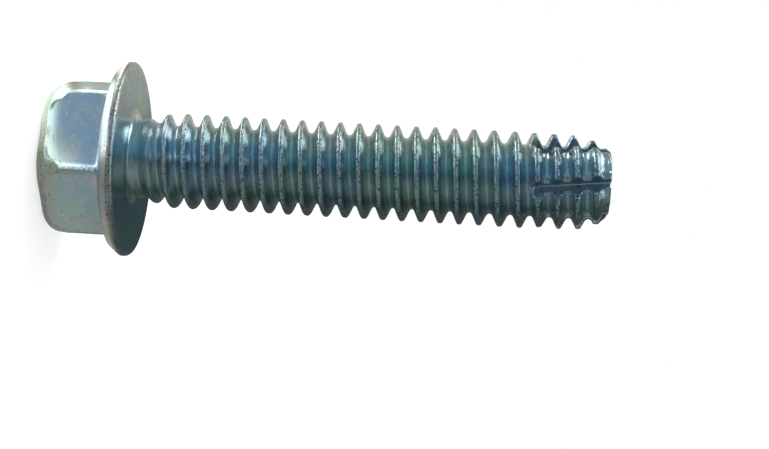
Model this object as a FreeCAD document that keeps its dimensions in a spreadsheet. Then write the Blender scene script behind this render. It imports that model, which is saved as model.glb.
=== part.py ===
import FreeCAD, Part
import Sketcher
import os

# Thread cutting screw: one cold formed steel piece with a hex washer head, a coarse rolled thread
# and five short cutting flutes at a blunt point.
# Millimetres. +Z runs along the axis from the head to the point. The origin is the centre of the
# bearing face, the face of the washer that seats on the work, so the head lies below Z = 0.

V = FreeCAD.Vector

doc = FreeCAD.newDocument("ThreadCuttingScrew")

# Driving sizes

sheet = doc.addObject("Spreadsheet::Sheet", "Sizes")
sizes = [
    ("pitch", 1.27, "distance from crest to crest, twenty threads to the inch"),
    ("crest_diameter", 6.31, "outside diameter of the thread"),
    ("groove_depth", 0.785, "depth of the thread groove below the crest"),
    ("flank_angle", 34, "angle of each flank to a plane square to the axis, in degrees"),
    ("groove_start", 1.97, "height where the groove has its full depth"),
    ("groove_fade", 1.1, "height over which the groove fades out towards the head"),
    ("shank_length", 31.5, "bearing face to the end of the point"),
    ("neck_diameter", 5.7, "plain neck under the head"),
    ("neck_length", 1.1, "height of the plain neck"),
    ("shoulder_length", 1.3, "cone from the neck out to the full crest"),
    ("neck_bevel", 0.35, "bevel between the neck and the bearing face"),
    ("point_length", 2.3, "length of the tapered point"),
    ("point_diameter", 5.5, "diameter at the end of the taper"),
    ("point_bevel", 0.35, "bevel round the edge of the point"),
    ("washer_diameter", 13, "largest diameter of the washer"),
    ("washer_edge", 0.42, "height of the straight part of the washer's edge"),
    ("washer_taper", 0.57, "how far the washer's edge slopes in towards the hexagon"),
    ("washer_thickness", 1.12, "bearing face to the foot of the hexagon"),
    ("rim_bevel", 0.22, "bevel at the rim of the bearing face"),
    ("head_height", 5.45, "bearing face to the top of the head"),
    ("across_flats", 9.53, "hexagon, flat to flat"),
    ("corner_trim", 0.28, "what the round blank takes off the hexagon, corner to corner"),
    ("crown_width", 0.95, "width of the shallow part of the bevel round the top"),
    ("crown_depth", 0.48, "depth of the shallow part of the bevel"),
    ("crown_edge_width", 0.46, "width of the steep part of the bevel"),
    ("crown_edge_depth", 1.1, "depth of the steep part of the bevel"),
    ("head_turn", -18.95, "turn of the hexagon about the axis, in degrees"),
    ("lip_width", 0.58, "flat lip between the bevel and the indentation"),
    ("dish_wall", 0.5, "width of the indentation's sloping wall"),
    ("dish_depth", 0.55, "depth of the indentation"),
    ("flute_count", 5, "cutting flutes round the point"),
    ("flute_length", 5.1, "flute, from the end of the point to its last trace"),
    ("flute_slope", 1.2, "length over which a flute rises out of the thread"),
    ("flute_floor_diameter", 4.54, "circle on which the floors of the flutes lie"),
    ("flute_angle", 88, "angle between the two walls of a flute, in degrees"),
    ("flute_turn", -84.5, "turn of the first flute about the axis, in degrees"),
    ("cut_clearance", 0.3, "how far a cutting tool reaches past the surface"),
]
for row, (alias, value, note) in enumerate(sizes, start=1):
    sheet.set(f"A{row}", alias.replace("_", " "))
    sheet.set(f"B{row}", str(value))
    sheet.set(f"C{row}", note)
    sheet.setAlias(f"B{row}", alias)
doc.recompute()

screw = doc.addObject("PartDesign::Body", "Screw")
screw.Label = "thread_cutting_screw"


def origin_part(role):
    return next(f for f in screw.Origin.OriginFeatures if f.Role == role)


def new_sketch(name, role):
    sketch = screw.newObject("Sketcher::SketchObject", name)
    sketch.AttachmentSupport = [(origin_part(role), "")]
    sketch.MapMode = "FlatFace"
    return sketch


def draw_outline(sketch, corners):
    """Draws a closed outline and ties both distances of each corner to the sheet.

    A corner is a pair of expressions, and None puts it on that axis.
    """
    first = len(sketch.Geometry)
    count = len(corners)
    starts = [V(10, 0, 0)]
    turn = FreeCAD.Rotation(V(0, 0, 1), 360 / count)
    while len(starts) < count:
        starts.append(turn.multVec(starts[-1]))
    for index in range(count):
        line = Part.LineSegment(starts[index], starts[(index + 1) % count])
        sketch.addGeometry(line)
    for index in range(count):
        following = (index + 1) % count
        sketch.addConstraint(Sketcher.Constraint("Coincident", first + index, 2, first + following, 1))
    for index, (across, along) in enumerate(corners):
        line = first + index
        for kind, expression, axis, value in (
            ("DistanceX", across, -2, starts[index].x),
            ("DistanceY", along, -1, starts[index].y),
        ):
            if expression is None:
                sketch.addConstraint(Sketcher.Constraint("PointOnObject", line, 1, axis))
                continue
            number = sketch.addConstraint(Sketcher.Constraint(kind, -1, 1, line, 1, value or 1))
            sketch.setExpression(f"Constraints[{number}]", expression)


def bevel_edge(name, base, size, diameter, height):
    """Bevels the one circular edge of that diameter at that height."""
    doc.recompute()
    found = []
    for index, edge in enumerate(base.Shape.Edges, start=1):
        circle = edge.Curve
        if circle.TypeId != "Part::GeomCircle":
            continue
        same_size = abs(circle.Radius - diameter / 2) < 1e-4
        if same_size and abs(circle.Center.z - height) < 1e-4:
            found.append(f"Edge{index}")
    if len(found) != 1:
        raise RuntimeError(f"{name}: {len(found)} edges found")
    bevel = screw.newObject("PartDesign::Chamfer", name)
    bevel.Base = (base, found)
    bevel.setExpression("Size", f"Sizes.{size}")
    return bevel


# The turned form: head blank with its indentation, washer, neck, shank and point

head_radius = "Sizes.across_flats / 2 / cos(30) - Sizes.corner_trim / 2"
crown_radius = f"{head_radius} - Sizes.crown_edge_width"
top_radius = f"{crown_radius} - Sizes.crown_width"
mouth_radius = f"{top_radius} - Sizes.lip_width"

blank = new_sketch("BlankProfile", "XZ_Plane")
draw_outline(blank, [
    (None, "-Sizes.head_height + Sizes.dish_depth"),
    (f"{mouth_radius} - Sizes.dish_wall", "-Sizes.head_height + Sizes.dish_depth"),
    (mouth_radius, "-Sizes.head_height"),
    (top_radius, "-Sizes.head_height"),
    (crown_radius, "-Sizes.head_height + Sizes.crown_depth"),
    (head_radius, "-Sizes.head_height + Sizes.crown_depth + Sizes.crown_edge_depth"),
    (head_radius, "-Sizes.washer_thickness"),
    ("Sizes.washer_diameter / 2 - Sizes.washer_taper", "-Sizes.washer_thickness"),
    ("Sizes.washer_diameter / 2", "-Sizes.washer_edge"),
    ("Sizes.washer_diameter / 2", None),
    ("Sizes.neck_diameter / 2", None),
    ("Sizes.neck_diameter / 2", "Sizes.neck_length"),
    ("Sizes.crest_diameter / 2", "Sizes.neck_length + Sizes.shoulder_length"),
    ("Sizes.crest_diameter / 2", "Sizes.shank_length - Sizes.point_length"),
    ("Sizes.point_diameter / 2", "Sizes.shank_length"),
    (None, "Sizes.shank_length"),
])
turned = screw.newObject("PartDesign::Revolution", "TurnedBlank")
turned.Profile = blank
turned.ReferenceAxis = (blank, ["V_Axis"])
turned.Angle = 360

under = bevel_edge("NeckBevel", turned, "neck_bevel", sheet.neck_diameter, 0)
rim = bevel_edge("RimBevel", under, "rim_bevel", sheet.washer_diameter, 0)
nose = bevel_edge("PointBevel", rim, "point_bevel", sheet.point_diameter, sheet.shank_length)

# The hexagon: a ring pocket that leaves six flats above the washer

hexagon = new_sketch("Hexagon", "XY_Plane")
hexagon.AttachmentOffset = FreeCAD.Placement(V(0, 0, 0), FreeCAD.Rotation(V(0, 0, 1), 0))
hexagon.setExpression("AttachmentOffset.Base.z", "-Sizes.washer_thickness")
hexagon.setExpression("AttachmentOffset.Rotation.Angle", "Sizes.head_turn")
corners = []
for step in range(6):
    reach = "Sizes.across_flats / 2 / cos(30)"
    across = f"{reach} * cos({60 * step})"
    along = None if step in (0, 3) else f"{reach} * sin({60 * step})"
    corners.append((across, along))
draw_outline(hexagon, corners)
ring = hexagon.addGeometry(Part.Circle(V(0, 0, 0), V(0, 0, 1), 20))
hexagon.addConstraint(Sketcher.Constraint("Coincident", ring, 3, -1, 1))
reach = hexagon.addConstraint(Sketcher.Constraint("Radius", ring, 20))
hexagon.setExpression(f"Constraints[{reach}]", f"{head_radius} + Sizes.cut_clearance")
flats = screw.newObject("PartDesign::Pocket", "HexFlats")
flats.Profile = hexagon
flats.Type = 0
flats.Reversed = 0
flats.setExpression("Length", "Sizes.head_height")

# The cutting flutes: straight V cuts that break out of the thread towards the head


def flute_section(name, height, lift):
    sketch = new_sketch(name, "XY_Plane")
    sketch.AttachmentOffset = FreeCAD.Placement(V(0, 0, 0), FreeCAD.Rotation(V(0, 0, 1), 0))
    sketch.setExpression("AttachmentOffset.Base.z", height)
    sketch.setExpression("AttachmentOffset.Rotation.Angle", "Sizes.flute_turn")
    floor = f"Sizes.flute_floor_diameter / 2 + {lift}"
    rise = "(Sizes.crest_diameter - Sizes.flute_floor_diameter) / 2 + Sizes.cut_clearance"
    mouth = f"({rise}) * tan(Sizes.flute_angle / 2)"
    draw_outline(sketch, [
        (floor, None),
        (f"{floor} + {rise}", mouth),
        (f"{floor} + {rise}", f"-{mouth}"),
    ])
    return sketch


flute_end = flute_section("FluteAtPoint", "Sizes.shank_length + Sizes.cut_clearance", "0")
flute_mid = flute_section("FluteFullDepth", "Sizes.shank_length - Sizes.flute_length + Sizes.flute_slope", "0")
clear = "(Sizes.crest_diameter - Sizes.flute_floor_diameter) / 2"
flute_out = flute_section("FluteLastTrace", "Sizes.shank_length - Sizes.flute_length", clear)
flute = screw.newObject("PartDesign::SubtractiveLoft", "Flute")
flute.Profile = flute_end
flute.Sections = [(flute_mid, [""]), (flute_out, [""])]
flute.Ruled = True
flute.Closed = False
flutes = screw.newObject("PartDesign::PolarPattern", "Flutes")
flutes.Originals = [flute]
flutes.Axis = (origin_part("Z_Axis"), [""])
flutes.Angle = 360
flutes.setExpression("Occurrences", "Sizes.flute_count")
screw.Tip = flutes

# The thread: one V groove on a right-handed helix, fading out below the head

groove = new_sketch("GrooveProfile", "XZ_Plane")
root = "Sizes.crest_diameter / 2 - Sizes.groove_depth"
lip = "Sizes.crest_diameter / 2 + Sizes.cut_clearance"
spread = "(Sizes.groove_depth + Sizes.cut_clearance) * tan(Sizes.flank_angle)"
draw_outline(groove, [
    (root, "Sizes.groove_start"),
    (lip, f"Sizes.groove_start - {spread}"),
    (lip, f"Sizes.groove_start + {spread}"),
])
fade = screw.newObject("PartDesign::SubtractiveHelix", "ThreadFade")
fade.Profile = groove
fade.ReferenceAxis = (groove, ["V_Axis"])
fade.Mode = 0
fade.LeftHanded = 0
fade.Reversed = 1
fade.setExpression("Pitch", "Sizes.pitch")
fade.setExpression("Height", "Sizes.groove_fade")
fade.setExpression("Angle", "atan((Sizes.groove_depth + Sizes.cut_clearance / 10) / Sizes.groove_fade)")

thread = screw.newObject("PartDesign::SubtractiveHelix", "Thread")
thread.Profile = groove
thread.ReferenceAxis = (groove, ["V_Axis"])
thread.Mode = 0
thread.LeftHanded = 0
thread.Reversed = 0
thread.Angle = 0
thread.setExpression("Pitch", "Sizes.pitch")
thread.setExpression("Height", "Sizes.shank_length - Sizes.groove_start + Sizes.pitch")

screw.Tip = thread
screw.Placement = FreeCAD.Placement(V(0, 0, 0), FreeCAD.Rotation())
doc.recompute()

# Every feature must have worked before anything is written

for item in doc.Objects:
    if "Invalid" in item.State or "Error" in item.State:
        raise RuntimeError(f"{item.Label} failed: {item.State}")
steps = [turned, under, rim, nose, flats, flute, flutes, fade, thread]
for before, after in zip(steps, steps[1:]):
    if abs(before.Shape.Volume - after.Shape.Volume) < 1e-3:
        raise RuntimeError(f"{after.Label} changed nothing")
    print(f"{after.Label}: {after.Shape.Volume:.2f} mm3, {len(after.Shape.Faces)} faces")

os.makedirs("parts", exist_ok=True)
for body in [screw]:
    shape = body.Shape
    if shape.isNull() or not shape.isValid() or len(shape.Solids) != 1:
        raise RuntimeError(f"{body.Label} is not one valid solid")
    shape.exportStep(f"parts/{body.Label}.step")
    box = shape.optimalBoundingBox()
    print(f"{body.Label}: {box.XLength:.2f} x {box.YLength:.2f} x {box.ZLength:.2f} mm")
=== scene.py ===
import math
import bpy
import numpy as np
from mathutils import Matrix, Vector


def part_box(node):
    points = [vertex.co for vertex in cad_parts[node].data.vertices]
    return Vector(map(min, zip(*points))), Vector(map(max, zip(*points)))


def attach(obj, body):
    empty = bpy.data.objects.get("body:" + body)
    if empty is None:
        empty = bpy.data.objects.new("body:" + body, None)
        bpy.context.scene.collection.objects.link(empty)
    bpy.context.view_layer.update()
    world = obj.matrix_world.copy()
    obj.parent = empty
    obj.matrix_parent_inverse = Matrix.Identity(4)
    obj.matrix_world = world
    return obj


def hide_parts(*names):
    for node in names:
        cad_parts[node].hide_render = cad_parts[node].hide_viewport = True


# The finish of a thread cutting screw: one mesh with rounded rolled threads, cut flutes and a formed
# hex washer head, in bright zinc plate. Lengths in the mesh code are millimetres. Z runs along the
# axis from the head to the point, with zero at the bearing face.

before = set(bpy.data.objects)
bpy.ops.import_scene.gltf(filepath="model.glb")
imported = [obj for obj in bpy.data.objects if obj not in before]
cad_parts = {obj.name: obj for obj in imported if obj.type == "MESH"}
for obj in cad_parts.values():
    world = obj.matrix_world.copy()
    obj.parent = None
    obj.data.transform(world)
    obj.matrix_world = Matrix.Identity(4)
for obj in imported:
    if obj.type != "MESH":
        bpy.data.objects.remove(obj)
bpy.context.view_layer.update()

MM = 0.001
MM_IN_METRE = 1000
NODE = "thread_cutting_screw"
node_low, node_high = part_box(NODE)
washer_radius = node_high.x / MM
shank_length = node_high.z / MM
head_height = -node_low.z / MM

# Thread: it grows out of the neck between the two heights of its rise

pitch = 1.27
crest_radius = 3.155
root_radius = 2.33
crest_round = 0.18
root_round = 0.22
seam_width = 0.04
seam_depth = 0.05
flank_slant = math.radians(24.5)
first_crest = 3.5
neck_radius = 2.6
neck_fillet = 0.38
thread_rise = (0.3, 2.9)
crest_ripple = 0.012
shank_ripple = 0.006

# Heights, and how far the crests there stand past an even pitch

crest_creep = (
    (3, 0),
    (9, 0.03),
    (14, 0),
    (18.4, -0.06),
    (22.2, -0.09),
    (23.5, -0.06),
    (25, 0.06),
    (29.9, 0.08),
)

# Flutes: each has a broad wall, a steep wall and a narrow facet on its floor

flute_count = 5
flute_turn = math.radians(-84.5)
flute_floor = 1.85
steep_wall = math.radians(24.5)
broad_wall = math.radians(36.3)
wall_reach = 0.85
floor_facet = math.radians(55)
facet_width = 0.2
flute_trace = 5.4
flute_slope = 0.5
flute_lean = math.radians(-3.32)
lean_middle = 28.9
lean_start = 4
wall_ripple = 0.03

# Torn edges beside the flutes, between two distances from the end of the point, and the lip there

torn_from = 5.6
torn_full = 4.2
torn_ripple = 0.1
torn_loss = 0.045
lip_height = 0.3

# Point: the taper's pairs are a distance from the end and how much lower the thread stands there

point_taper = ((3.4, 0), (2.2, 0.05), (1.1, 0.2), (0.5, 0.36), (0, 0.62))
upper_loss = 0.16
upper_loss_from = 2.8
upper_loss_full = 0.8
nose_round = 0.42
nose_radius = 2.62
nose_upper_loss = 0.3
nose_ripple = 0.05
lower_shortening = 0.2
lowest_shortening = 0.22
lowest_rounding = 0.35
lowest_swell = 0.12
end_dish = ((1.6, 0.03), (1.2, 0.05), (0.7, 0.06))
end_ripple = 0.015
end_wear = 0.35

# Washer: radii, then depths and heights from the bearing face

face_start = 3.5
face_radius = 6.03
face_shift = 0.3
face_dip = 0.012
rim_drop = 0.24
rim_straight = 0.36
washer_thickness = 1.12
washer_edge = 0.46
washer_taper = 0.57
edge_bevel_width = 0.12
edge_bevel_height = 0.1
upper_face_share = 0.92

# Hexagon, crown and the indentation in its top

across_flats = 9.53
hex_corner_turn = math.radians(-18.95)
hex_corner_round = 0.83
foot_round = 0.22
foot_sink = 0.01
flats_start = 0.24
crown_flat = 3.78
crown_swell = 0.157
crown_width = 1.29
crown_depth = 1.42
crown_power = 2.4
crown_ripple = 0.03
lip_width = 0.42
dish_depth = 0.55
dish_wall = ((0.2, 0.0), (0.42, 0.0), (0.5, 0.04), (0.62, 0.2), (0.76, 0.38), (0.95, 0.5), (1.2, 0.54))
dish_rings = (2.3, 2.0, 1.6, 1.2, 0.8, 0.4)
head_offset = 0.05
head_ripple = 0.01
ripple_full_radius = 3

# Rows and columns of the mesh

columns_per_flat = 40
corner_crowding = 0.45
back_flute = 3
most_pitches = 30
row_margin = 0.3

# Random swells: the stretch of the axis that their lattice covers

swell_length = 60
swell_below = 12

# Floor, room and lamp

room_light = 0.55
floor_paint = (0.8, 0.8, 0.8, 1)
floor_glow = 0.62
floor_gap = 0.01
floor_reach = 3000
lamp_place = (-105, 49, 150)
lamp_aim = (0, 0, 12)
lamp_size = 110
lamp_power = 0.1

# Tent: its outline from the table to the roof, with the distances from the axis where its tints change

table_level = -head_height + 0.02
tent_profile = (
    (4.2, table_level),
    (12, table_level),
    (24, table_level),
    (30, -13),
    (100, -110),
    (250, -420),
    (250, 300),
    (120, 430),
)
tent_columns = 72
table_edge = (22.5, 24)
foot_edge = (8, 8.8)
contact_edge = (5.3, 5.8)
glare_turn = -100
glare_width = (0.055, 0.1)
glare_start = (10, 12)
glare_depth = (-170, -115)
glare_tone = (5.0, 4.8, 4.4, 1)

# Camera

camera_place = (3.431, -113.53, 24.29)
camera_aim = (3.431, 0, 16.938)
camera_up = (-0.9983, 0, -0.0575)
camera_lens = 80.77
camera_sensor = 36
camera_nearest = 0.001


# Numbers along and round the screw


def smooth_step(x, low, high):
    """Zero below low, one above high, with a smooth rise between."""
    t = np.clip((x - low) / (high - low), 0, 1)
    return t * t * (3 - 2 * t)


def soft_min(a, b, width):
    """The lesser of two values, rounded where they meet."""
    h = np.clip(0.5 + 0.5 * (b - a) / width, 0, 1)
    return b + (a - b) * h - width * h * (1 - h)


def wander(turn, height, round_cells, along, seed):
    """Smooth random swell from -1 to 1 that closes on itself round the axis."""
    rows = int(swell_length / along) + 4
    lattice = np.random.default_rng(seed).uniform(-1, 1, (round_cells, rows))
    u = (turn / (2 * np.pi) % 1) * round_cells
    v = (height + swell_below) / along
    i = np.floor(u).astype(int)
    j = np.floor(v).astype(int)
    a = u - i
    b = v - j
    a = a * a * (3 - 2 * a)
    b = b * b * (3 - 2 * b)
    left = i % round_cells
    right = (i + 1) % round_cells
    near = lattice[left, j] * (1 - a) + lattice[right, j] * a
    far = lattice[left, j + 1] * (1 - a) + lattice[right, j + 1] * a
    return near * (1 - b) + far * b


def thread_section(offset):
    """Radius of the rolled thread at a distance from its crest along the axis."""
    d = np.abs(offset)
    crest_end = crest_round * math.cos(flank_slant)
    root_end = root_round * math.cos(flank_slant)
    crest_arc = crest_radius - crest_round + np.sqrt(crest_round ** 2 - np.minimum(d, crest_end) ** 2)
    flank_top = crest_radius - crest_round * (1 - math.sin(flank_slant))
    flank = flank_top - (d - crest_end) / math.tan(flank_slant)
    e = np.clip(pitch / 2 - d, 0, root_end)
    root_arc = root_radius + root_round - np.sqrt(root_round ** 2 - e ** 2)
    return np.where(d < crest_end, crest_arc, np.maximum(flank, root_arc))


def crest_seam(offset, turn, height):
    """Depth of the fold that rolling leaves along the crest."""
    strength = np.clip(0.7 + 0.6 * wander(turn, height, 30, 1.3, 16), 0.1, 1)
    return seam_depth * strength * np.clip(1 - np.abs(offset) / seam_width, 0, 1)


def creep(height):
    """How far the thread at a height stands past an even pitch."""
    return np.interp(height, [h for h, _ in crest_creep], [c for _, c in crest_creep])


def lean(height):
    """Turn by which the flutes, and the mesh columns that follow them, lean at a height."""
    start = shank_length - flute_trace
    growth = smooth_step(height, start - lean_start, start)
    return flute_lean * (np.maximum(height, start) - lean_middle) * growth


def crest_height(turn):
    """Height of a crest of the helix at that turn about the axis."""
    return first_crest + pitch * (turn - math.pi) / (2 * math.pi)


def even_height(height):
    """The height that a point would have with an even pitch."""
    return height - creep(height - creep(height))


def from_crest(turn, height):
    """Distance along the axis from the nearest crest, as it would be with an even pitch."""
    return (even_height(height) - crest_height(turn) + pitch / 2) % pitch - pitch / 2


def flute_wall(turn, height):
    """Distance from the axis to the nearest flute's wall, and the turn from that flute's floor."""
    rise = np.clip((shank_length - flute_trace + flute_slope - height) / flute_slope, 0, None)
    floor = flute_floor + rise * (crest_radius - flute_floor)
    spacing = 2 * math.pi / flute_count
    side = (turn - flute_turn - lean(height) + spacing / 2) % spacing - spacing / 2
    wall = np.where(side > 0, broad_wall, steep_wall)
    reach = np.minimum(np.abs(side), wall * wall_reach)
    slope = np.tan(wall)
    facet_sink = facet_width * (1 / math.tan(floor_facet) - 1 / math.tan(broad_wall))
    foot = np.where(side > 0, floor + facet_sink, floor)
    radius = foot * slope / (np.cos(reach) * slope - np.sin(reach))
    facet = floor * math.tan(floor_facet) / (np.cos(reach) * math.tan(floor_facet) - np.sin(reach))
    return np.where(side > 0, np.maximum(radius, facet), radius), side


def upper_side(turn):
    """One on the side that lies high in the picture, zero elsewhere."""
    return smooth_step(-np.cos(turn), 0.5, 0.9)


def point_loss(turn, height):
    """How much lower the thread stands towards the end of the point."""
    heights = [shank_length - back for back, _ in point_taper]
    losses = [loss for _, loss in point_taper]
    near_end = smooth_step(height, shank_length - upper_loss_from, shank_length - upper_loss_full)
    return np.interp(height, heights, losses) + upper_loss * upper_side(turn) * near_end


def beside_floor(degrees, middle, width):
    """One at an angle beside a flute's floor, with a smooth fall on both sides."""
    return np.exp(-((degrees - middle) / width) ** 2)


def torn_edges(degrees):
    """How torn the thread is beside a flute."""
    edges = beside_floor(degrees, 17, 5) + beside_floor(degrees, -13, 4)
    return np.maximum(edges, 0.55 * smooth_step(-degrees, 8, 14))


def flute_lip(degrees, turn, height):
    """Height of the lip that cutting raised beside the steep wall. It is missing on the upper side."""
    uneven = 0.75 + 0.4 * wander(turn, height, 60, 0.8, 17)
    lip = lip_height * beside_floor(degrees, -14, 3) * uneven
    return lip * (1 - smooth_step(-np.cos(turn), 0.75, 0.95))


def nose_limit(turn, height):
    """Greatest radius at the rounded end, which is shorter on the side that lies low in the picture."""
    lower = smooth_step(np.cos(turn + math.radians(35)), 0.55, 0.75)
    lowest = smooth_step(np.cos(turn + math.radians(15)), 0.75, 0.87)
    end = shank_length - lower_shortening * lower - lowest_shortening * lowest
    rounding = nose_round + lowest_rounding * lowest
    over = np.clip((height - (end - rounding)) / rounding, 0, 1)
    fall = rounding * (1 - np.sqrt(1 - over ** 2))
    nose = nose_radius - nose_upper_loss * upper_side(turn) + lowest_swell * lowest - fall
    nose = nose + nose_ripple * wander(turn, height, 26, 0.5, 15)
    free = 3 * (1 - smooth_step(height, end - rounding - 0.5, end - rounding * 0.6))
    return nose + free


def shank_surface(turn, height):
    """Radius of the shank, with how near each point is to a crest and to a flute's wall."""
    offset = from_crest(turn, height)
    thread = thread_section(offset) - crest_seam(offset, turn, height)
    grown = smooth_step(height, *thread_rise)
    radius = neck_radius + grown * (thread - neck_radius)
    tall = crest_radius - root_radius
    radius = root_radius + (radius - root_radius) * (1 - point_loss(turn, height) / tall)
    ridge = np.clip((radius - root_radius) / tall, 0, 1) * grown
    rolled = smooth_step(ridge, 0.8, 1.0)
    radius = radius + rolled * crest_ripple * wander(turn, height, 60, 0.9, 11)
    radius = radius + shank_ripple * wander(turn, height, 24, 0.5, 12)

    wall, side = flute_wall(turn, height)
    degrees = np.degrees(side)
    torn = smooth_step(height, shank_length - torn_from, shank_length - torn_full)
    burr = wander(turn, height, 90, 0.35, 13)
    radius = radius + torn * torn_edges(degrees) * ridge * (torn_ripple * burr - torn_loss)
    radius = np.maximum(radius, root_radius + torn * flute_lip(degrees, turn, height))
    rough_wall = wall + torn * wall_ripple * wander(turn, height, 100, 1.2, 14)
    cut = smooth_step(radius - rough_wall, -0.01, 0.03) * np.where(degrees > -0.5, 1, 0.5)
    radius = soft_min(radius, rough_wall, 0.03)
    return soft_min(radius, nose_limit(turn, height), 0.06), ridge, cut


def hexagon_radius(turn):
    """Radius of the hexagon with its corners rounded."""
    from_flat = np.abs((turn - hex_corner_turn) % (math.pi / 3) - math.pi / 6)
    inner = across_flats / 2 - hex_corner_round
    corner = inner / math.cos(math.pi / 6)
    delta = math.pi / 6 - from_flat
    beyond = np.sqrt(np.maximum(hex_corner_round ** 2 - (corner * np.sin(delta)) ** 2, 0))
    arc = corner * np.cos(delta) + beyond
    flat_end = math.atan2(inner * math.tan(math.pi / 6), across_flats / 2)
    return np.where(from_flat < flat_end, across_flats / 2 / np.cos(from_flat), arc)


# Meshes


class Skin:
    """Collects rings of points and the faces between them, and becomes one mesh.

    Each point carries four marks for the finish: how worn it is, with painted shade added on the side of
    the head that lies low in the picture, how near a crest (ridge), how near a cut wall or a nicked edge
    (cut), and its height along the unrolled thread (level, -1 off the thread).
    """

    def __init__(self):
        self.points = []
        self.marks = []
        self.faces = []

    def add(self, points, wear=0.0, ridge=0.0, cut=0.0, level=-1.0):
        """Adds points with their marks and returns their numbers."""
        first = sum(len(p) for p in self.points)
        self.points.append(points)
        count = len(points)
        self.marks.append(np.stack([np.broadcast_to(m, count) for m in (wear, ridge, cut, level)], 1))
        return np.arange(first, first + count)

    def band(self, lower, upper):
        """Quads between two closed rings of the same count."""
        self.faces += np.stack([lower, np.roll(lower, -1), np.roll(upper, -1), upper], 1).tolist()

    def stitch(self, lower, lower_turns, upper, upper_turns):
        """Triangles between two closed rings of different counts, walked by their turns."""
        i = j = 0
        while i < len(lower) or j < len(upper):
            next_low = lower_turns[0] + 2 * math.pi if i + 1 >= len(lower) else lower_turns[i + 1]
            next_up = upper_turns[0] + 2 * math.pi if j + 1 >= len(upper) else upper_turns[j + 1]
            a = int(lower[i % len(lower)])
            b = int(upper[j % len(upper)])
            if j >= len(upper) or (i < len(lower) and next_low <= next_up):
                self.faces.append([a, int(lower[(i + 1) % len(lower)]), b])
                i += 1
            else:
                self.faces.append([a, int(upper[(j + 1) % len(upper)]), b])
                j += 1

    def cap(self, edge, centre, faces_up):
        """Triangles from a closed ring to its centre."""
        for a, b in zip(edge, np.roll(edge, -1)):
            first, second = (a, b) if faces_up else (b, a)
            self.faces.append([int(first), int(second), int(centre)])

    def build(self, name):
        """Makes the mesh and links its object to the scene."""
        points = np.concatenate(self.points)
        marks = np.concatenate(self.marks)
        mesh = bpy.data.meshes.new(name)
        mesh.from_pydata((points * MM).tolist(), [], self.faces)
        for column, label in enumerate(("wear", "ridge", "cut", "level")):
            attribute = mesh.attributes.new(label, "FLOAT", "POINT")
            attribute.data.foreach_set("value", marks[:, column].astype(np.float32))
        mesh.validate()
        mesh.shade_smooth()
        piece = bpy.data.objects.new(name, mesh)
        bpy.context.scene.collection.objects.link(piece)
        return piece


def polar(radius, turn, height):
    """Points from their distance to the axis, turn about it and height along it."""
    heights = np.broadcast_to(height, np.shape(turn))
    return np.stack([radius * np.cos(turn), radius * np.sin(turn), heights], -1)


def shank_rows():
    """Heights of the rows within one pitch, measured from a crest: close at crest and root."""
    crest_end = crest_round * math.cos(flank_slant)
    root_end = root_round * math.cos(flank_slant)
    flank_middle = (crest_end + pitch / 2 - root_end) / 2
    half = [0, seam_width, 2 * seam_width, 0.7 * crest_end, crest_end, flank_middle]
    half += [pitch / 2 - root_end, pitch / 2 - root_end / 2]
    return half + [pitch / 2] + [pitch - h for h in reversed(half[1:])]


def shank_turns():
    """Turns of the shank's columns, from a flute at the back: close together beside each flute."""
    beside = np.concatenate([np.arange(-18, 18, 1.5), np.arange(18, 54, 3)])
    flutes = np.arange(back_flute, back_flute + flute_count) * 360 / flute_count
    return flute_turn + np.radians(np.concatenate([beside + flute for flute in flutes]))


def add_shank(skin, bottom):
    """The shank from a height up to its end, as rows that follow the helix and stop at two flat ends."""
    turns = shank_turns()
    rows = shank_rows()
    start = crest_height(turns[0]) - 4 * pitch
    levels = [start + k * pitch + r for k in range(most_pitches) for r in rows]
    lowest = bottom - pitch - row_margin
    levels = np.array([z for z in levels if lowest < z < shank_length + row_margin])
    heights = levels[:, None] + pitch * (turns - turns[0])[None, :] / (2 * math.pi)
    heights = heights + creep(heights)
    heights = np.clip(heights + pitch * lean(heights) / (2 * math.pi), bottom, shank_length)
    grid_turns = turns + lean(heights)
    radius, ridge, cut = shank_surface(grid_turns, heights)
    points = polar(radius, grid_turns, heights)
    level = even_height(heights) - pitch * (grid_turns - turns[0]) / (2 * math.pi)
    numbers = skin.add(points.reshape(-1, 3), 0.0, ridge.reshape(-1), cut.reshape(-1), level.reshape(-1))
    numbers = numbers.reshape(heights.shape)

    # Points of a column that were brought to a flat end are one point there
    for column in range(len(turns)):
        at_bottom = np.nonzero(heights[:, column] <= bottom)[0]
        at_top = np.nonzero(heights[:, column] >= shank_length)[0]
        numbers[at_bottom, column] = numbers[at_bottom[-1], column]
        numbers[at_top, column] = numbers[at_top[0], column]

    per_pitch = len(rows)
    count = len(levels)
    for column in range(len(turns)):
        here = numbers[:, column]
        if column + 1 < len(turns):
            beside = numbers[:, column + 1]
        else:
            beside = np.concatenate([numbers[per_pitch:, 0], np.repeat(numbers[-1, 0], per_pitch)])
        for row in range(count - 1):
            corners = [here[row], beside[row], beside[row + 1], here[row + 1]]
            face = [int(c) for k, c in enumerate(corners) if c != corners[k - 1]]
            if len(set(face)) > 2:
                skin.faces.append(face)
    return numbers[0], numbers[-1], turns


def add_end(skin, edge, turns):
    """The flat, slightly dished end of the point."""
    outer = edge
    for radius, dip in end_dish:
        swell = end_ripple * wander(turns, np.full(len(turns), radius), 14, 0.7, 21)
        inner = skin.add(polar(radius, turns, shank_length - dip + swell), end_wear)
        skin.band(outer, inner)
        outer = inner
    deepest = shank_length - end_dish[-1][1]
    centre = skin.add(np.array([[0, 0, deepest]]), end_wear)
    skin.cap(outer, centre[0], True)


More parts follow.
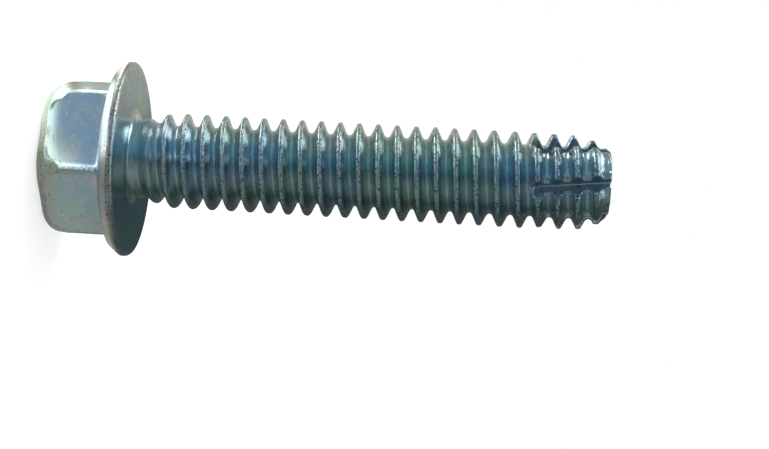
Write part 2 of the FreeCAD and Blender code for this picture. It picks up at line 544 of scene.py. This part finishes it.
def head_turns():
    """Turns of the head's columns, closer together at the hexagon's corners."""
    u = (np.arange(columns_per_flat) + 0.5) / columns_per_flat * 2 - 1
    across = math.radians(30) * (corner_crowding * u + (1 - corner_crowding) * u ** 3)
    return np.concatenate([hex_corner_turn + k * math.pi / 3 + across for k in range(6)])


def crown_profile():
    """The bevel round the top from its flat outwards: distances out and down, then a short cone."""
    a = np.linspace(0, math.pi / 2, 25)
    out = crown_width * np.sin(a) ** (2 / crown_power)
    down = crown_depth * (1 - np.abs(np.cos(a)) ** (2 / crown_power))
    return np.append(out, crown_width + 0.3), np.append(down, crown_depth + 0.6)


def along_crown(place):
    """Distances out and down at a place on the crown's profile, counted in its points."""
    out, down = crown_profile()
    steps = np.arange(len(out))
    return np.interp(place, steps, out), np.interp(place, steps, down)


def crown_edges(turns):
    """Radius of the crown's flat top, and the place on its profile where it meets the hexagon."""
    flat = crown_flat + crown_swell * np.cos(6 * (turns - hex_corner_turn))
    flat = flat + crown_ripple * wander(turns, np.zeros(len(turns)), 14, 1.0, 35)
    out, _ = crown_profile()
    return flat, np.interp(hexagon_radius(turns) - flat, out, np.arange(len(out)))


def head_ring(radius, height, wear=0.0, nicks=0.0):
    """One closed ring of the head, with the marks of its points."""
    return radius, height, wear, nicks


def washer_rings(turns):
    """The bearing face, the rolled rim, which is rounder at one side, and the washer's upper face."""
    zeros = np.zeros(len(turns))
    lower = 0.5 + 0.5 * np.cos(turns)
    face = face_radius + face_shift * np.cos(turns)
    rim_wear = 0.85 + 0.15 * wander(turns, zeros, 40, 1.0, 32)
    dents = 0.03 * wander(turns, zeros, 22, 1.0, 33) + 0.02 * wander(turns, zeros, 70, 1.0, 34) - 0.03
    rings = [head_ring(face_start, 0.0)]
    for share in (0.3, 0.65, 0.93, 1):
        rings.append(head_ring(face_start + (face - face_start) * share, -face_dip, 0.1 * (share > 0.9)))
    for degrees in (15, 30, 45, 60, 75, 90):
        t = math.radians(degrees)
        radius = face + (washer_radius - face) * math.sin(t)
        height = -face_dip - rim_drop * (1 - math.cos(t))
        rings.append(head_ring(radius + dents * math.sin(t), height, rim_wear * math.sin(t) ** 0.5))
    rings.append(head_ring(washer_radius + dents, -rim_straight, rim_wear))
    rings.append(head_ring(washer_radius + dents - 0.01, -washer_edge, rim_wear))
    bevelled = washer_radius - edge_bevel_width
    height = -washer_edge - edge_bevel_height
    # The edge bevel and the upper face carry wear only on the side that lies low in the picture, away from
    # the light: partly wear, partly painted shade.
    rings.append(head_ring(bevelled + dents / 2, height, rim_wear * 0.6 * lower))
    slope = (washer_thickness - washer_edge - edge_bevel_height) / (washer_taper - edge_bevel_width)
    for across in (0.2, 0.4):
        rings.append(head_ring(bevelled - across, height - across * slope * upper_face_share, 0.5 * lower))
    return rings


def hexagon_rings(turns):
    """The foot of the hexagon and its flats, up to where the bevel round the top begins."""
    zeros = np.zeros(len(turns))
    hexagon = hexagon_radius(turns)
    foot = hexagon + foot_round
    washer_top = washer_radius - washer_taper - 0.1
    rings = [head_ring(np.maximum(foot, washer_top), -washer_thickness + 0.02, 0.1)]
    rings.append(head_ring(foot, -washer_thickness - foot_sink))
    for degrees in (25, 50, 75):
        t = math.radians(degrees)
        height = -washer_thickness - foot_sink - foot_round * (1 - math.cos(t))
        rings.append(head_ring(hexagon + foot_round * (1 - math.sin(t)), height))
    corner = np.abs((turns - hex_corner_turn + math.pi / 6) % (math.pi / 3) - math.pi / 6)
    corner_wear = np.exp(-((corner / math.radians(2.5)) ** 2))
    corner_nicks = np.exp(-((corner / math.radians(1.3)) ** 2))
    _, crease = crown_edges(turns)
    crease_height = head_height - along_crown(crease)[1]
    start = washer_thickness + flats_start
    for share in (0.02, 0.12, 0.25, 0.4, 0.55, 0.7, 0.82, 0.92):
        knock = 0.03 * corner_wear * wander(turns, zeros + 4 * share, 60, 0.3, 36)
        height = -start - (crease_height - start) * share
        rings.append(head_ring(hexagon + knock, height, 0.25 * corner_wear, corner_nicks))
    rings.append(head_ring(hexagon, -crease_height + 0.035, np.maximum(0.3 * corner_wear, 0.1)))
    return rings


def crown_rings(turns):
    """The bevel round the top, the flat lip and the shallow indentation."""
    zeros = np.zeros(len(turns))
    lower = 0.5 + 0.5 * np.cos(turns)
    flat, crease = crown_edges(turns)
    rings = []
    for share in (1.0, 0.97, 0.9, 0.8, 0.7, 0.6, 0.5, 0.4, 0.3, 0.22, 0.15, 0.09, 0.04, 0):
        out, down = along_crown(crease * share)
        knock = 0.015 * wander(turns, zeros + 3 * share, 70, 0.3, 37)
        # The bevel's wear grows on the side that lies low in the picture, away from the light: partly
        # wear, partly painted shade.
        rings.append(head_ring(flat + out + knock, -head_height + down, 0.08 + 0.5 * lower))
    for across, depth in dish_wall:
        blend = min(1, across / lip_width)
        rounded = (flat + (crown_flat - flat) * blend) - across
        rings.append(head_ring(rounded, -head_height + depth, 0.3 if depth < 0.1 else 0.1))
    for radius in dish_rings:
        rings.append(head_ring(radius, -head_height + dish_depth + 0.01 * (radius > 1), 0.05))
    return rings


def add_head(skin, neck, shank_columns):
    """The washer, hexagon and crown as closed rings, from the neck round to the indentation."""
    turns = head_turns()
    zeros = np.zeros(len(turns))
    edges = []
    for radius, height, wear, nicks in washer_rings(turns) + hexagon_rings(turns) + crown_rings(turns):
        radius = radius + zeros
        height = height + zeros
        ripple = head_ripple * wander(turns, height, 18, 1.1, 31)
        points = polar(radius + ripple * min(1, radius.min() / ripple_full_radius), turns, height)
        points[:, 0] += head_offset
        edges.append(skin.add(points, wear, 0.0, nicks))
    order = np.argsort((shank_columns - turns[0]) % (2 * math.pi))
    neck_turns = turns[0] + (shank_columns[order] - turns[0]) % (2 * math.pi)
    skin.stitch(edges[0], turns, neck[order], neck_turns)
    for inner, outer in zip(edges, edges[1:]):
        skin.band(outer, inner)
    centre = skin.add(np.array([[head_offset, 0, -head_height + dish_depth]]), 0.05)
    skin.cap(edges[-1], centre[0], False)


def screw_mesh():
    """The whole screw as one closed mesh: shank, end, round under the head, and head."""
    skin = Skin()
    neck, end, turns = add_shank(skin, neck_fillet)
    add_end(skin, end, turns + lean(shank_length))
    for degrees in (30, 60, 90):
        t = math.radians(degrees)
        radius = neck_radius + neck_fillet * (1 - math.cos(t))
        lower = skin.add(polar(radius, turns, neck_fillet * (1 - math.sin(t))))
        skin.band(lower, neck)
        neck = lower
    add_head(skin, neck, turns)
    return skin.build("screw_body")


# Shader expressions


class Wire:
    """One socket of a material's nodes. Python's operators on it add Math nodes."""

    def __init__(self, shop, socket):
        self.shop = shop
        self.socket = socket

    def maths(self, operation, *others):
        """A Math node on this socket and other numbers or sockets."""
        sockets = {index: other for index, other in enumerate((self,) + others)}
        return self.shop.node("ShaderNodeMath", {"operation": operation}, sockets)

    def __add__(self, other):
        return self.maths("ADD", other)

    def __mul__(self, other):
        return self.maths("MULTIPLY", other)

    def __sub__(self, other):
        return self.maths("SUBTRACT", other)

    def __rsub__(self, other):
        return self.shop.node("ShaderNodeMath", {"operation": "SUBTRACT"}, {0: other, 1: self})

    def __truediv__(self, other):
        return self.maths("DIVIDE", other)

    __radd__ = __add__
    __rmul__ = __mul__

    def clamped(self):
        """The same number, kept between zero and one."""
        return self.maths("MINIMUM", 1.0).maths("MAXIMUM", 0.0)

    def part(self, index):
        """One of a vector's three numbers."""
        return self.shop.node("ShaderNodeSeparateXYZ", None, {"Vector": self}, index)

    def ramp(self, low, high):
        """Zero below low, one above high, with a smooth rise between."""
        settings = {"interpolation_type": "SMOOTHSTEP"}
        sockets = {"Value": self, "From Min": low, "From Max": high}
        return self.shop.node("ShaderNodeMapRange", settings, sockets)


class Shop:
    """Adds nodes to one material or to the world."""

    def __init__(self, tree):
        self.tree = tree

    def node(self, kind, settings=None, sockets=None, output=0):
        """Adds a node of any type, gives it settings and then socket values or links."""
        made = self.tree.nodes.new(kind)
        for name, value in (settings or {}).items():
            if name == "stops":
                self.set_stops(made.color_ramp.elements, value)
            else:
                setattr(made, name, value)
        for name, value in (sockets or {}).items():
            target = made.inputs[name]
            if isinstance(value, Wire):
                self.tree.links.new(value.socket, target)
            else:
                target.default_value = value
        return Wire(self, made.outputs[output]) if len(made.outputs) else None

    def set_stops(self, elements, stops):
        """Gives a colour ramp its places and colours."""
        while len(elements) < len(stops):
            elements.new(0.5)
        for element, (place, colour) in zip(elements, stops):
            element.position = place
            element.color = colour

    def mix(self, factor, first, second):
        """A colour between two colours."""
        return self.node("ShaderNodeMix", {"data_type": "RGBA"}, {0: factor, 6: first, 7: second}, 2)

    def mark(self, label):
        """One of the numbers that the mesh carries at its points."""
        return self.node("ShaderNodeAttribute", {"attribute_name": label}, output="Fac")

    def noise(self, place, scale, detail=3.0, roughness=0.5):
        """Random swell round one half."""
        sockets = {"Vector": place, "Scale": scale, "Detail": detail, "Roughness": roughness}
        return self.node("ShaderNodeTexNoise", None, sockets)

    def scaled(self, colour, factor):
        """A colour made lighter or darker by one number."""
        return self.node("ShaderNodeVectorMath", {"operation": "SCALE"}, {0: colour, "Scale": factor})

    def stretched(self, place, factors):
        """A place with each of its three numbers multiplied."""
        return self.node("ShaderNodeVectorMath", {"operation": "MULTIPLY"}, {0: place, 1: factors})


def new_shop(name):
    """An empty material and the shop that fills it."""
    material = bpy.data.materials.new(name)
    material.use_nodes = True
    material.node_tree.nodes.clear()
    return material, Shop(material.node_tree)


def zinc_plate():
    """Bright zinc with a blue-green passivate, worn to grey-brown where edges were knocked. The head's
    side that lies low in the picture gets more of that grey-brown as painted shade, and the thread's
    flanks and the flutes' steep walls are darkened with painted shade.
    """
    steel_blue = (0.46, 0.60, 0.72, 1)
    sea_green = (0.50, 0.64, 0.60, 1)
    lilac_grey = (0.62, 0.60, 0.66, 1)
    pale_zinc = (0.70, 0.70, 0.66, 1)
    rolling_grey = (0.2, 0.26, 0.29, 1)
    # Painted shade for the thread's flanks
    painted_flank_shade = (0.13, 0.19, 0.22, 1)
    fresh_cut = (0.84, 0.88, 0.92, 1)
    # Painted shadow for the flutes' steep walls
    painted_flute_shadow = (0.1, 0.13, 0.2, 1)
    rust_brown = (0.36, 0.29, 0.26, 1)
    dull_grey = (0.56, 0.52, 0.47, 1)
    pit_black = (0.09, 0.085, 0.09, 1)

    material, shop = new_shop("zinc_plate")
    place = shop.node("ShaderNodeTexCoord", output="Object")
    millimetres = shop.stretched(place, (MM_IN_METRE, MM_IN_METRE, MM_IN_METRE))
    wear = shop.mark("wear")
    ridge = shop.mark("ridge")
    cut = shop.mark("cut")
    level = shop.mark("level")
    threaded = level.ramp(-0.6, 0.2)

    # Random swells, from broad to fine, with scratches along the axis and lines along the thread
    cloud = shop.noise(millimetres, 0.3, 2.0)
    patch = shop.noise(millimetres, 1.1, 3.0)
    tint = shop.noise(millimetres, 0.75, 2.0)
    speck = shop.noise(millimetres, 7.0, 3.0, 0.6)
    grain = shop.noise(millimetres, 22.0, 3.0, 0.6)
    scratch = shop.noise(shop.stretched(millimetres, (2.2, 2.2, 8.0)), 1.0, 3.0, 0.6)
    unrolled = {0: millimetres.part(0) * 1.3, 1: millimetres.part(1) * 1.3, 2: level * 9.0}
    rolled = shop.noise(shop.node("ShaderNodeCombineXYZ", None, unrolled), 1.0, 3.0, 0.6)

    # The plate's tints, the marks of rolling and painted shade on the thread's flanks, between the crests
    colour = shop.mix(cloud.ramp(0.38, 0.62), steel_blue, sea_green)
    colour = shop.mix(tint.ramp(0.5, 0.66) * 0.6, colour, lilac_grey)
    colour = shop.mix(patch.ramp(0.5, 0.75) * 0.55, colour, pale_zinc)
    colour = shop.mix(rolled.ramp(0.54, 0.68) * threaded * 0.5, colour, rolling_grey)
    # Painted shade: the flanks between crest and root are darkened
    flank = ridge.ramp(0.3, 0.5) * (1 - ridge.ramp(0.72, 0.9))
    colour = shop.mix(flank * 0.38, colour, painted_flank_shade)

    # The flutes: the mesh marks the broad wall with 1 and the steep wall with one half. The steep wall is
    # darkened with painted shadow.
    steep_wall_shadow = cut.ramp(0.3, 0.5) * (1 - cut.ramp(0.5, 0.8)) * threaded
    colour = shop.mix(cut.ramp(0.6, 1.0) * threaded * 0.9, colour, fresh_cut)
    colour = shop.mix(steep_wall_shadow * 0.75, colour, painted_flute_shadow)

    # Knocked edges, with painted shade on the head's lower side, pits and scratches
    worn_and_shaded = wear * (0.75 + patch * 0.5)
    knocked_and_shaded = (worn_and_shaded + speck * 0.8 - 0.85).ramp(0.0, 0.5)
    colour = shop.mix(knocked_and_shaded * 0.85, colour, shop.mix(patch.ramp(0.35, 0.65), rust_brown, dull_grey))
    crest = ridge.ramp(0.8, 0.97)
    chips = 0.7 * threaded * level.ramp(25.5, 26.5) * ridge
    pits = speck.ramp(0.54, 0.64) * (wear * 0.8 + crest * 0.9 + 0.06 + cut * 0.35 + chips)
    pits = (pits + scratch.ramp(0.66, 0.72) * 0.6 * (1 - threaded)).clamped()
    colour = shop.mix(pits, colour, pit_black)

    roughness = 0.09 + knocked_and_shaded * 0.25 + grain * 0.08 + patch * 0.06 + crest * 0.05
    rough_height = grain * 0.2 + speck * (0.15 + wear * 2.0 + crest * 2.8 + cut * 2.2) - pits
    head_relief = (cloud * 2.0 + cut * speck * 6.0) * (1 - threaded)
    rough_height = rough_height + rolled * threaded * 2.2 + head_relief
    relief = {"Strength": 0.5, "Distance": 0.00004, "Height": rough_height}
    bump = shop.node("ShaderNodeBump", None, relief)
    surface = shop.node("ShaderNodeBsdfPrincipled", None, {
        "Base Color": colour,
        "Metallic": 1.0,
        "Roughness": roughness,
        "Normal": bump,
    })
    shop.node("ShaderNodeOutputMaterial", None, {"Surface": surface})
    return material


# Stage


def ray_share(shop):
    """One for rays that should meet the white background, zero for the rest."""
    camera = shop.node("ShaderNodeLightPath", output="Is Camera Ray")
    glossy = shop.node("ShaderNodeLightPath", output="Is Glossy Ray")
    through = shop.node("ShaderNodeLightPath", output="Is Transmission Ray")
    return (camera + glossy + through).clamped()


def white_world():
    """A room that lights the screw softly and is plain white behind it."""
    world = bpy.data.worlds.new("white_room")
    bpy.context.scene.world = world
    world.use_nodes = True
    world.node_tree.nodes.clear()
    shop = Shop(world.node_tree)
    colour = shop.scaled((1, 1, 1), ray_share(shop) * (1 - room_light) + room_light)
    background = shop.node("ShaderNodeBackground", None, {"Color": colour, "Strength": 1.0})
    shop.node("ShaderNodeOutputWorld", None, {"Surface": background})


def flat_piece(name, corners):
    """One flat face of the stage."""
    mesh = bpy.data.meshes.new(name)
    mesh.from_pydata([Vector(c) * MM for c in corners], [], [(0, 1, 2, 3)])
    piece = bpy.data.objects.new(name, mesh)
    bpy.context.scene.collection.objects.link(piece)
    return piece


def white_floor():
    """A pale floor that takes the screw's shadow. The metal sees the tent's table instead."""
    material, shop = new_shop("floor_white")
    paint = shop.node("ShaderNodeBsdfDiffuse", None, {"Color": floor_paint})
    glow_colour = shop.scaled((floor_glow, floor_glow, floor_glow), ray_share(shop))
    glow = shop.node("ShaderNodeEmission", None, {"Color": glow_colour, "Strength": 1.0})
    both = shop.node("ShaderNodeAddShader", None, {0: paint, 1: glow})
    shop.node("ShaderNodeOutputMaterial", None, {"Surface": both})
    level = -head_height - floor_gap
    sides = ((-1, -1), (1, -1), (1, 1), (-1, 1))
    floor = flat_piece("floor", [(x * floor_reach, y * floor_reach, level) for x, y in sides])
    floor.data.materials.append(material)
    floor.visible_glossy = False


def turn_ramp(shop, turn, tones):
    """A colour that changes round the screw. Tones are pairs of degrees and a linear colour."""
    stops = [((degrees + 180) / 360, (*tone, 1)) for degrees, tone in tones]
    return shop.node("ShaderNodeValToRGB", {"stops": stops}, {0: turn})


def studio_tent():
    """A tinted tent round the screw, with a table under it. The metal alone sees it.

    The tones go round the screw by degrees: 0 towards the camera, -90 up the picture, 90 down it. The
    table, its foot and the contact next to the head have tones of their own, from outside inwards.
    """
    material, shop = new_shop("tent_cloth")
    place = shop.node("ShaderNodeTexCoord", output="Object")
    across = place.part(0)
    deep = place.part(1)
    high = place.part(2) * MM_IN_METRE
    turn = across.maths("ARCTAN2", deep * -1.0) / (2 * math.pi) + 0.5
    reach = (across * across + deep * deep).maths("SQRT") * MM_IN_METRE
    wall = turn_ramp(shop, turn, (
        (-180, (0.03, 0.055, 0.06)),
        (-177.5, (0.03, 0.055, 0.06)),
        (-175.5, (0.4, 0.4, 0.35)),
        (-165, (0.56, 0.54, 0.47)),
        (-140, (0.376, 0.392, 0.342)),
        (-110, (0.216, 0.283, 0.263)),
        (-90, (0.235, 0.328, 0.337)),
        (-70, (0.205, 0.319, 0.337)),
        (-45, (0.165, 0.314, 0.376)),
        (-20, (0.127, 0.242, 0.296)),
        (0, (0.084, 0.144, 0.174)),
        (20, (0.14, 0.195, 0.21)),
        (45, (0.225, 0.27, 0.265)),
        (80, (0.15, 0.185, 0.175)),
        (110, (0.05, 0.075, 0.072)),
        (150, (0.09, 0.1, 0.095)),
        (174, (0.09, 0.1, 0.095)),
        (177, (0.035, 0.058, 0.062)),
        (180, (0.03, 0.055, 0.06)),
    ))
    table = turn_ramp(shop, turn, (
        (-180, (0.55, 0.54, 0.49)),
        (-120, (0.48, 0.52, 0.47)),
        (-80, (0.32, 0.4, 0.36)),
        (-55, (0.4, 0.49, 0.6)),
        (-24, (0.4, 0.47, 0.56)),
        (-18, (1.6, 1.6, 1.55)),
        (-7, (3.0, 3.0, 2.9)),
        (-3, (0.2, 0.2, 0.2)),
        (18, (0.1, 0.1, 0.09)),
        (38, (0.28, 0.28, 0.25)),
        (58, (0.42, 0.45, 0.4)),
        (85, (0.42, 0.45, 0.4)),
        (120, (0.48, 0.46, 0.4)),
        (180, (0.55, 0.54, 0.49)),
    ))
    foot = turn_ramp(shop, turn, (
        (-180, (0.25, 0.24, 0.2)),
        (-120, (0.45, 0.44, 0.36)),
        (-105, (1.6, 1.6, 1.4)),
        (-60, (2.2, 2.2, 2.1)),
        (-6, (2.2, 2.2, 2.1)),
        (4, (0.45, 0.45, 0.4)),
        (20, (0.4, 0.37, 0.32)),
        (100, (0.45, 0.39, 0.33)),
        (150, (0.21, 0.18, 0.15)),
        (180, (0.25, 0.24, 0.2)),
    ))
    contact = turn_ramp(shop, turn, (
        (-180, (0.95, 0.93, 0.75)),
        (-160, (0.8, 0.78, 0.64)),
        (-120, (1.3, 1.3, 1.1)),
        (-60, (1.5, 1.5, 1.25)),
        (-30, (1.3, 1.3, 1.05)),
        (-15, (0.8, 0.78, 0.62)),
        (2, (0.38, 0.35, 0.3)),
        (40, (0.32, 0.28, 0.25)),
        (90, (0.33, 0.3, 0.26)),
        (140, (0.36, 0.33, 0.29)),
        (180, (0.86, 0.84, 0.64)),
    ))
    off_table = reach.ramp(*table_edge)
    colour = shop.mix(off_table, table, wall)
    colour = shop.mix(reach.ramp(*foot_edge), foot, colour)
    colour = shop.mix(reach.ramp(*contact_edge), contact, colour)

    # A bright strip under the screw, on the table's outer part and far down in the bowl
    beside = (turn - (180 + glare_turn) / 360).maths("ABSOLUTE")
    below = 1 - high.ramp(*glare_depth)
    strip = reach.ramp(*glare_start) * (1 - off_table) + below * off_table
    glare = (1 - beside.ramp(*glare_width)) * strip
    colour = shop.mix(glare, colour, glare_tone)

    # The tent is lighter towards the horizon and overhead
    horizon = 1 - high.maths("ABSOLUTE").ramp(30, 80)
    sky = high.ramp(90, 260) * 0.25
    colour = shop.scaled(colour, reach.ramp(36, 60) * horizon * 0.35 + sky + 0.95)
    glow = shop.node("ShaderNodeEmission", None, {"Color": colour, "Strength": 1.0})
    shop.node("ShaderNodeOutputMaterial", None, {"Surface": glow})
    tent = Skin()
    turns = np.arange(tent_columns) * math.radians(360 / tent_columns)
    rings = [tent.add(polar(radius, turns, height)) for radius, height in tent_profile]
    for inner, outer in zip(rings, rings[1:]):
        tent.band(inner, outer)
    cloth = tent.build("studio_tent")
    cloth.data.materials.append(material)
    cloth.visible_camera = False
    cloth.visible_diffuse = False
    cloth.visible_shadow = False


def soft_lamp(name, place, aim, size, power):
    """A square area lamp that faces a point."""
    lamp = bpy.data.lights.new(name, "AREA")
    lamp.shape = "SQUARE"
    lamp.size = size * MM
    lamp.energy = power
    fitting = bpy.data.objects.new(name, lamp)
    fitting.location = Vector(place) * MM
    direction = (Vector(aim) - Vector(place)).normalized()
    fitting.rotation_euler = direction.to_track_quat("-Z", "Y").to_euler()
    bpy.context.scene.collection.objects.link(fitting)


def place_camera():
    """The photograph's view: the screw lies across the picture with its head at the left."""
    place = Vector(camera_place)
    back = (place - Vector(camera_aim)).normalized()
    right = Vector(camera_up).cross(back).normalized()
    up = back.cross(right)
    lens = bpy.data.cameras.new("camera")
    lens.sensor_width = camera_sensor
    lens.lens = camera_lens
    lens.clip_start = camera_nearest
    camera = bpy.data.objects.new("camera", lens)
    turn = Matrix((right, up, back)).transposed().to_4x4()
    camera.matrix_world = Matrix.Translation(place * MM) @ turn
    bpy.context.scene.collection.objects.link(camera)
    bpy.context.scene.camera = camera


screw = screw_mesh()
zinc = zinc_plate()
screw.data.materials.append(zinc)
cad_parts[NODE].data.materials.clear()
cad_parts[NODE].data.materials.append(zinc)
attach(screw, "root")
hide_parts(NODE)

white_world()
white_floor()
studio_tent()
soft_lamp("key", lamp_place, lamp_aim, lamp_size, lamp_power)
place_camera()
bpy.context.scene.view_settings.view_transform = "Standard"
